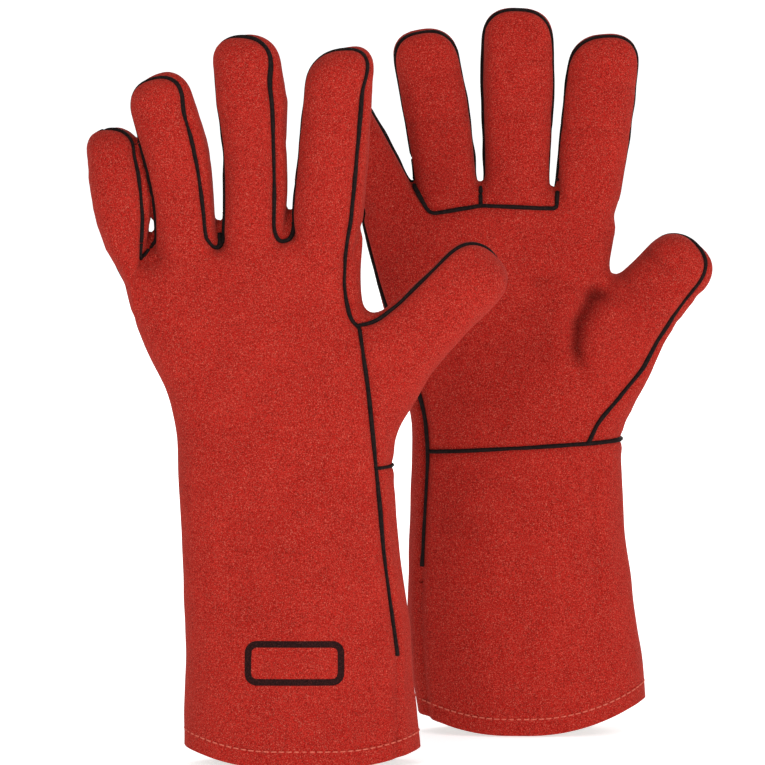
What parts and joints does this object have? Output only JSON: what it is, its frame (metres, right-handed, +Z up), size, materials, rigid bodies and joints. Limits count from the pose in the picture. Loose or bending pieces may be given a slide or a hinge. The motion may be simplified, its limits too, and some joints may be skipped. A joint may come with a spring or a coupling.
{
  "type": "welding gloves",
  "caption": "Pair of red split-leather welding gauntlets standing on their hems, with dark welted seams, lined cuffs, and folding wrists, fingers and thumbs.",
  "frame": {"origin": "centre of the pair's bounding box, on the plane the hems stand on", "axes": "+Z up along the fingers, +X toward both gloves' thumbs, -Y out of the back of the left-hand glove; the palms face each other"},
  "size_m": [0.3053, 0.214, 0.3505],
  "materials": {
    "leather": "matte suede",
    "welting": "matte",
    "lining": "matte fleece",
    "thread": "matte"
  },
  "bodies": {
    "left_cuff": {"left_cuff_back": "leather", "left_cuff_palm_side": "leather", "left_wrist_welt": "welting", "left_cuff_welt_pinky_side": "welting", "left_cuff_welt_thumb_side": "welting", "left_cuff_lining": "lining", "left_hem_thread": "thread"},
    "left_hand": {"left_hand_back": "leather", "left_palm": "leather", "left_finger_base_welt": "welting", "left_hand_welt_pinky_side": "welting", "left_hand_welt_thumb_side": "welting", "left_hand_lining": "lining"},
    "left_pinky": {"left_pinky_back": "leather", "left_pinky_front": "leather", "left_pinky_welt": "welting"},
    "left_ring": {"left_ring_back": "leather", "left_ring_front": "leather", "left_ring_welt": "welting"},
    "left_middle": {"left_middle_back": "leather", "left_middle_front": "leather", "left_middle_welt": "welting"},
    "left_index": {"left_index_back": "leather", "left_index_front": "leather", "left_index_welt": "welting"},
    "left_thumb": {"left_thumb_back": "leather", "left_thumb_front": "leather", "left_thumb_welt": "welting"},
    "right_cuff": {"right_cuff_back": "leather", "right_cuff_palm_side": "leather", "right_wrist_welt": "welting", "right_cuff_welt_pinky_side": "welting", "right_cuff_welt_thumb_side": "welting", "right_cuff_lining": "lining", "right_hem_thread": "thread"},
    "right_hand": {"right_hand_back": "leather", "right_palm": "leather", "right_finger_base_welt": "welting", "right_hand_welt_pinky_side": "welting", "right_hand_welt_thumb_side": "welting", "right_hand_lining": "lining"},
    "right_pinky": {"right_pinky_back": "leather", "right_pinky_front": "leather", "right_pinky_welt": "welting"},
    "right_ring": {"right_ring_back": "leather", "right_ring_front": "leather", "right_ring_welt": "welting"},
    "right_middle": {"right_middle_back": "leather", "right_middle_front": "leather", "right_middle_welt": "welting"},
    "right_index": {"right_index_back": "leather", "right_index_front": "leather", "right_index_welt": "welting"},
    "right_thumb": {"right_thumb_back": "leather", "right_thumb_front": "leather", "right_thumb_welt": "welting"}
  },
  "joints": [
    {"name": "left_wrist_fold", "type": "hinge", "parent": "left_cuff", "child": "left_hand", "pos_m": [-0.0471, -0.075, 0.14], "axis": [-1, 0, 0], "range_deg": [-20, 30], "stiffness_Nm_per_rad": 1.2},
    {"name": "left_pinky_fold", "type": "hinge", "parent": "left_hand", "child": "left_pinky", "pos_m": [-0.1311, -0.069, 0.246], "axis": [-0.9971, 0, -0.0767], "range_deg": [0, 70], "stiffness_Nm_per_rad": 0.06},
    {"name": "left_ring_fold", "type": "hinge", "parent": "left_hand", "child": "left_ring", "pos_m": [-0.1026, -0.069, 0.249], "axis": [-0.9918, 0, -0.128], "range_deg": [0, 70], "stiffness_Nm_per_rad": 0.06},
    {"name": "left_middle_fold", "type": "hinge", "parent": "left_hand", "child": "left_middle", "pos_m": [-0.0706, -0.069, 0.254], "axis": [-0.9839, 0, -0.1789], "range_deg": [0, 70], "stiffness_Nm_per_rad": 0.06},
    {"name": "left_index_fold", "type": "hinge", "parent": "left_hand", "child": "left_index", "pos_m": [-0.0361, -0.069, 0.256], "axis": [-0.9985, 0, 0.0555], "range_deg": [0, 70], "stiffness_Nm_per_rad": 0.06},
    {"name": "left_thumb_fold", "type": "hinge", "parent": "left_hand", "child": "left_thumb", "pos_m": [-0.0126, -0.069, 0.1875], "axis": [-0.2084, 0, 0.978], "range_deg": [0, 50], "stiffness_Nm_per_rad": 0.06},
    {"name": "right_wrist_fold", "type": "hinge", "parent": "right_cuff", "child": "right_hand", "pos_m": [0.0629, 0.075, 0.14], "axis": [1, 0, 0], "range_deg": [-20, 30], "stiffness_Nm_per_rad": 1.2},
    {"name": "right_pinky_fold", "type": "hinge", "parent": "right_hand", "child": "right_pinky", "pos_m": [-0.0076, 0.069, 0.261], "axis": [0.9285, 0, 0.3714], "range_deg": [0, 70], "stiffness_Nm_per_rad": 0.06},
    {"name": "right_ring_fold", "type": "hinge", "parent": "right_hand", "child": "right_ring", "pos_m": [0.0214, 0.069, 0.2655], "axis": [0.9995, 0, -0.0303], "range_deg": [0, 70], "stiffness_Nm_per_rad": 0.06},
    {"name": "right_middle_fold", "type": "hinge", "parent": "right_hand", "child": "right_middle", "pos_m": [0.0554, 0.069, 0.264], "axis": [0.9984, 0, -0.0571], "range_deg": [0, 70], "stiffness_Nm_per_rad": 0.06},
    {"name": "right_index_fold", "type": "hinge", "parent": "right_hand", "child": "right_index", "pos_m": [0.0894, 0.069, 0.2585], "axis": [0.9648, 0, -0.2631], "range_deg": [0, 70], "stiffness_Nm_per_rad": 0.06},
    {"name": "right_thumb_fold", "type": "hinge", "parent": "right_hand", "child": "right_thumb", "pos_m": [0.10265, 0.069, 0.1895], "axis": [0.1095, 0, -0.994], "range_deg": [0, 50], "stiffness_Nm_per_rad": 0.06},
    {"name": "pair_spacing", "type": "slide", "parent": "left_cuff", "child": "right_cuff", "axis": [1, 0, 0], "range_m": [0, 0.3]}
  ]
}
